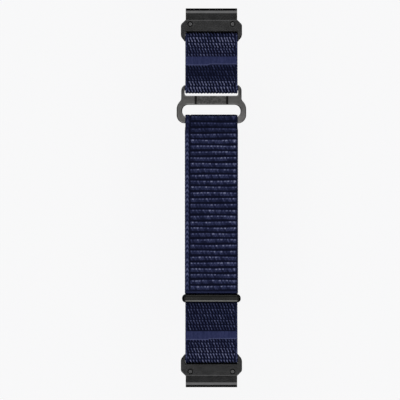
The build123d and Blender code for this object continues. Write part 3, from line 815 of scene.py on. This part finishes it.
PLATE_COAT = ((0.055, 0.055, 0.056), (0.078, 0.078, 0.079))
LINK_COAT = ((0.044, 0.044, 0.045), (0.062, 0.062, 0.063))
BUCKLE_COAT = ((0.17, 0.167, 0.165), (0.25, 0.246, 0.242))
KEEPER_COAT = ((0.056, 0.056, 0.054), (0.082, 0.082, 0.078))
LATCH_STEEL = ((0.36, 0.35, 0.34), (0.5, 0.49, 0.47))
SCREW_STEEL = ((0.085, 0.085, 0.086), (0.13, 0.13, 0.131))
SPRING_STEEL = ((0.5, 0.5, 0.49), (0.66, 0.65, 0.63))
HOOK_PLASTIC = ((0.006, 0.007, 0.014), (0.016, 0.018, 0.032))

twill_material = webbing_material("webbing_twill", NAVY, PRESSED_NAVY)
plate_metal = coat_material("end_link_plate", PLATE_COAT, rough=0.2, shades=[PLATE_SHADE])
end_link_metal = coat_material("end_link_metal", LINK_COAT, rough=0.17)
buckle_metal = coat_material(
    "buckle_metal", BUCKLE_COAT, rough=0.3, shades=[BUCKLE_EDGE_SHADE, BUCKLE_TOP_SHADE]
)
textured_panel(buckle_metal, BUCKLE_UPPER_BAR - PANEL_MIDDLE)
keeper_metal = coat_material(
    "keeper_metal", KEEPER_COAT, rough=0.2, grain=KEEPER_GRAIN, stretch=ACROSS_BRUSHED, shades=[KEEPER_SHADE]
)
latch_steel = coat_material("latch_steel", LATCH_STEEL, rough=0.3, stretch=ALONG_BRUSHED)
screw_steel = coat_material("screw_steel", SCREW_STEEL, rough=0.28)
spring_steel = coat_material("spring_steel", SPRING_STEEL, rough=0.22, stretch=ALONG_BRUSHED)
hook_plastic = coat_material("hook_pad", HOOK_PLASTIC, rough=0.42, grain=PLASTIC_GRAIN, metallic=0.0)

NODE_MATERIALS = {
    "frame": plate_metal,
    "saddle": end_link_metal,
    "cover": end_link_metal,
    "latch": latch_steel,
    "springs": spring_steel,
    "frame_screws": screw_steel,
    "cover_screws": screw_steel,
}


def finish_metal():
    """Give every CAD node made of metal its material."""
    named = {"buckle": buckle_metal, "keeper": keeper_metal}
    for end in ("upper", "lower"):
        for node, material in NODE_MATERIALS.items():
            named[f"{end}_{node}"] = material
    for node, material in named.items():
        slots = frame["nodes"][node].data.materials
        slots.clear()
        slots.append(material)


# Webbing pieces


def hidden_face(x, s, place):
    """The ribbed face all along, as it is inside the short strap's loop."""
    return *rib(x, s), 0 * x


def painted_crest_light(tone, place, *crests):
    """Painted light: lighten the tone over the crest of each loop."""
    lit_share = sum(np.exp(-(((place - crest) / CREST_LIGHT_REACH) ** 2)) for crest in crests)
    return np.clip(tone * vary(CREST_LIGHT_TONE, np.clip(lit_share, 0, 1)), 0, 1)


def loop_painted_light(past_bar):
    """Painted light: how much lighter the shaded loop round an end link's bar is, at a distance past the
    bar.
    """
    return 1 + LOOP_PAINTED_LIGHT * ease((past_bar - LOOP_PAINTED_LIGHT_START) / LOOP_PAINTED_LIGHT_LENGTH)


def finish_webbing(piece, *nodes):
    piece.data.materials.append(twill_material)
    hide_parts(*nodes)


def make_short_strap():
    points, along = short_strap_path()
    length = along[-1]
    scale = round(length / TWILL_PITCH) * TWILL_PITCH / length  # fits a whole number of rows into the loop

    def outside(x, s, place):
        height, tone = twill(x, s * scale + SHORT_WELD + SHORT_TWILL_SHIFT)
        # Painted light over the crest of each loop
        tone = painted_crest_light(tone, place, UPPER_LINK_BAR + SHORT_UPPER_CREST, BUCKLE_UPPER_BAR + SHORT_LOWER_CREST)
        # Painted shade on the stretch between the weld and the buckle
        tone = tone * (1 - SHORT_PAINTED_SHADE * mark(place - BUCKLE_UPPER_BAR, SHORT_SHADED_STRETCH))
        # Painted light on the loop past the end link's bar
        tone = tone * loop_painted_light(place - UPPER_LINK_BAR)
        from_weld = np.where(s > length / 2, s - length, s)
        return pressed(x, from_weld, -WELD_LENGTH / 2, WELD_LENGTH / 2, height, tone)

    piece = webbing("short_strap_webbing", points, along, outside, hidden_face, closed=True)
    finish_webbing(piece, "short_strap")
    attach(piece, "short_strap")


def cut(points, along, first, last):
    """The rows of a path between two distances along it."""
    start, stop = np.searchsorted(along, [first, last])
    return points[start:stop + 1], along[start:stop + 1]


def make_long_strap():
    """The long strap in pieces that meet in the middle of each link."""
    points, along = long_strap_path()
    fold_top = np.argmax(points[:, 0] > BUCKLE_LOWER_BAR)
    fold_bottom = fold_top + np.argmax(points[fold_top:, 0] < BUCKLE_LOWER_BAR)
    base_turn = np.argmin(points[:, 0])
    tail_along = along[:fold_top]
    fold = tail_along[-1]

    def on_tail(place):
        return np.interp(place, points[:fold_top, 0], tail_along)

    def on_strap(place):
        return np.interp(-place, -points[fold_bottom:base_turn, 0], along[fold_bottom:base_turn])

    tip = on_tail(TAIL_TIP)
    rib_offset = RIB_PLACE - on_tail(RIB_PLACE)
    twill_offset = on_strap(TWILL_PLACE) + TWILL_PLACE_READS
    weld_start = twill_offset - on_strap(WELD_END)
    pad_low, pad_high = node_box("hook_pad_4")
    pad_end = node_box("hook_pad_3")[1][1]
    pad_first = on_tail(pad_low[1] - PAD_CLEARANCE)
    pad_last = on_tail(pad_end + PAD_CLEARANCE)
    pad_half = pad_high[0] + PAD_CLEARANCE

    def rib_side(x, s, place):
        height, tone = rib(x, s + rib_offset - RIB_PITCH)
        hem = ease((tip + HEM_LENGTH - s) / HEM_EDGE)
        height, tone = cover(height, HEM_HEIGHT, hem), cover(tone, HEM_TONE, hem)
        ridge = mark(s - tip, HEM_RIDGE)
        near_fold = ease((place - BUCKLE_LOWER_BAR + FOLD_SHADE_START) / FOLD_SHADE_LENGTH)
        tone = tone * (1 - FOLD_SHADE * near_fold)
        return np.maximum(height, ridge * HEM_RIDGE_HEIGHT), np.maximum(tone, ridge * HEM_RIDGE_TONE), 0 * x

    def twill_side(x, s, place):
        height, tone = twill(x, twill_offset - s)
        # Painted light over the loop's crest and on the loop past the lower link's bar
        tone = painted_crest_light(tone, place, LOWER_LINK_BAR + LONG_CREST) * loop_painted_light(LOWER_LINK_BAR - place)
        height, tone, band = pressed(x, twill_offset - s, weld_start - WELD_LENGTH, weld_start, height, tone)
        under_pad = (s < pad_last) & (s > pad_first) & (np.abs(x) < pad_half)
        return np.where(under_pad, PAD_RECESS, height), np.where(under_pad, PAD_RECESS_TONE, tone), band

    middles = [(upper + lower) / 2 for upper, lower in zip(BEND_LINES, BEND_LINES[1:])]
    peel_start = on_tail(PEEL_LINE - PEEL_REACH - PEEL_MARGIN)
    tail_cuts = [tip, on_tail(middles[1]), on_tail(middles[0]), peel_start, fold]
    strap_cuts = [fold, *[on_strap(middle) for middle in middles], along[-1]]

    # Each bend: the two bodies, the line, where the bend starts and ends from it, and the nodes replaced
    tail_bends = [
        ("tail_link_4", "tail_link_3", BEND_LINES[2], -BEND_REACH, BEND_REACH, ["tail_link_4"]),
        ("tail_link_3", "tail_link_2", BEND_LINES[1], -BEND_REACH, BEND_REACH, ["tail_link_3"]),
        ("tail_link_2", "tail_link_1", BEND_LINES[0], -BEND_REACH, BEND_REACH, ["tail_link_2"]),
        ("tail_link_1", "strap_fold", PEEL_LINE, -PEEL_REACH, 0, ["tail_link_1"]),
    ]
    base_nodes = ["strap_link_3", "strap_base"]
    strap_bends = [
        ("strap_fold", "strap_link_1", BEND_LINES[0], BEND_REACH, -BEND_REACH, ["strap_fold"]),
        ("strap_link_1", "strap_link_2", BEND_LINES[1], BEND_REACH, -BEND_REACH, ["strap_link_1"]),
        ("strap_link_2", "strap_link_3", BEND_LINES[2], BEND_REACH, -BEND_REACH, ["strap_link_2"]),
        ("strap_link_3", "strap_base", BEND_LINES[3], BEND_REACH, -BEND_REACH, base_nodes),
    ]
    for part, ends, bends in (("tail", tail_cuts, tail_bends), ("strap", strap_cuts, strap_bends)):
        for number, (bend, first, last) in enumerate(zip(bends, ends, ends[1:]), start=1):
            body_a, body_b, line, before, after, nodes = bend
            piece_points, piece_along = cut(points, along, first, last)
            below_buckle = ease((BUCKLE_LOWER_BAR - SPREAD_START - piece_points[:, 0]) / SPREAD_LENGTH)
            spread = TAIL_SPREAD * (piece_along < fold) * below_buckle
            name = f"{part}_webbing_{number}"
            piece = webbing(name, piece_points, piece_along, rib_side, twill_side, spread=spread)
            finish_webbing(piece, *nodes)
            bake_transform(piece)


# Hook pads and springs


def block(low, high):
    """A box between two corners, as points and faces."""
    verts = [(x, y, z) for z in (low[2], high[2]) for y in (low[1], high[1]) for x in (low[0], high[0])]
    return verts, [(0, 2, 3, 1), (4, 5, 7, 6), (0, 1, 5, 4), (1, 3, 7, 5), (3, 2, 6, 7), (2, 0, 4, 6)]


def hook(x, y, root, lean):
    """One hook that hangs from a height and curls along the band, as points and faces."""
    steps = len(HOOK_PROFILE) - 1
    verts, faces = [], []
    for step, (forward, drop) in enumerate(HOOK_PROFILE):
        radius = HOOK_RADIUS * (1 - HOOK_TAPER * step / steps)
        for a, b in ((-1, -1), (1, -1), (1, 1), (-1, 1)):
            verts.append((x + a * radius, y + lean * forward + b * radius * HOOK_FLATNESS, root + drop))
    for first in range(0, 4 * steps, 4):
        for k in range(4):
            beside = (k + 1) % 4
            faces.append([first + 4 + k, first + 4 + beside, first + beside, first + k])
    faces.append([4 * steps + k for k in (3, 2, 1, 0)])
    faces.append([0, 1, 2, 3])
    return verts, faces


def joined(parts):
    """Several lots of points and faces as one."""
    verts, faces = [], []
    for part_verts, part_faces in parts:
        faces += [[len(verts) + k for k in face] for face in part_faces]
        verts += part_verts
    return verts, faces


def hook_places(low, high):
    """Evenly spaced places for hooks between two ends of a pad."""
    count = int((high - low - HOOK_MARGIN) / HOOK_SPACING)
    return [(low + high) / 2 + (i - (count - 1) / 2) * HOOK_SPACING for i in range(count)]


def make_hook_pad(number):
    """A moulded strip of small hooks that face down, under the tail, and lean two ways in turn."""
    node = f"hook_pad_{number}"
    low, high = node_box(node)
    root = high[2] - PAD_BASE
    parts = [block((low[0], low[1], root), high)]
    for i, x in enumerate(hook_places(low[0], high[0])):
        for j, y in enumerate(hook_places(low[1], high[1])):
            parts.append(hook(x, y, root, 1 if (i + j) % 2 else -1))
    piece = mesh_object(f"hook_strip_{number}", *joined(parts), smooth=False)
    piece.data.materials.append(hook_plastic)
    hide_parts(node)
    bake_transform(piece)


def make_springs(end):
    """The end link's springs, as a piece of their own that moves with the end link."""
    node = frame["nodes"][f"{end}_springs"]
    piece = bpy.data.objects.new(f"{end}_spring_coils", node.data.copy())
    bpy.context.scene.collection.objects.link(piece)
    piece.data.transform(node.matrix_world)
    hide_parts(f"{end}_springs")
    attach(piece, f"{end}_end_link")
    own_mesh(piece)


# Studio


def make_floor():
    """Far enough below that the band can curl towards the wrist without passing through it."""
    half, low = FLOOR_HALF, -FLOOR_DEPTH
    corners = [(-half, -half, low), (half, -half, low), (half, half, low), (-half, half, low)]
    floor = mesh_object("floor", corners, [[0, 1, 2, 3]], smooth=False)
    material, _, _, shader = new_material("pale_floor")
    shader.inputs["Base Color"].default_value = FLOOR_COLOUR
    shader.inputs["Roughness"].default_value = 1.0
    shader.inputs["Specular IOR Level"].default_value = 0.0
    shader.inputs["Emission Color"].default_value = BACKDROP_COLOUR
    shader.inputs["Emission Strength"].default_value = FLOOR_GLOW
    floor.data.materials.append(material)
    floor.visible_glossy = False


def make_light(name, side):
    """A long soft panel on one side along the band, from near overhead down to low, that faces the band."""
    high, low = (np.array([0, side * edge[0], edge[1]]) for edge in (PANEL_HIGH_EDGE, PANEL_LOW_EDGE))
    data = bpy.data.lights.new(name, "AREA")
    data.shape = "RECTANGLE"
    data.size = LIGHT_WIDTH
    data.size_y = float(np.linalg.norm(high - low)) * MM
    data.energy = LIGHT_WATTS
    light = bpy.data.objects.new(name, data)
    light.location = (high + low) / 2 * MM
    towards_band = Vector((0, 0, 0)) - light.location
    light.rotation_euler = towards_band.to_track_quat("-Z", "Y").to_euler()
    light.visible_camera = False
    bpy.context.scene.collection.objects.link(light)


def make_world():
    """A pale backdrop for the camera, and surroundings that are dark low down and lighter overhead."""
    world = bpy.data.worlds.new("studio")
    bpy.context.scene.world = world
    world.use_nodes = True
    nodes, links = world.node_tree.nodes, world.node_tree.links
    backdrop = nodes["Background"]
    backdrop.inputs["Color"].default_value = BACKDROP_COLOUR
    surroundings = add(nodes, "ShaderNodeBackground")
    direction = add(nodes, "ShaderNodeTexCoord")
    height = axis_of(nodes, links, direction.outputs["Generated"], "Z")
    links.new(ranged(nodes, links, height, *SKY_STRENGTH, *SKY_RISE), surroundings.inputs["Strength"])
    path = add(nodes, "ShaderNodeLightPath")
    mix = add(nodes, "ShaderNodeMixShader")
    links.new(path.outputs["Is Camera Ray"], mix.inputs["Fac"])
    links.new(surroundings.outputs[0], mix.inputs[1])
    links.new(backdrop.outputs[0], mix.inputs[2])
    links.new(mix.outputs[0], nodes["World Output"].inputs["Surface"])


def make_camera():
    """Straight above the band, with the band left a little off the middle of the frame."""
    data = bpy.data.cameras.new("camera")
    data.lens = LENS
    data.sensor_width = SENSOR_WIDTH
    data.clip_start = NEAREST * MM
    camera = bpy.data.objects.new("camera", data)
    camera.location = (*[place * MM for place in CAMERA_PLACE], (CAMERA_DISTANCE + BAR_HEIGHT) * MM)
    bpy.context.scene.collection.objects.link(camera)
    bpy.context.scene.camera = camera


finish_metal()
make_short_strap()
make_long_strap()
make_hook_pad(3)
make_hook_pad(4)
make_springs("upper")
make_springs("lower")
make_floor()
make_light("upper_panel", 1)
make_light("lower_panel", -1)
make_world()
make_camera()
bpy.context.scene.view_settings.view_transform = "Standard"
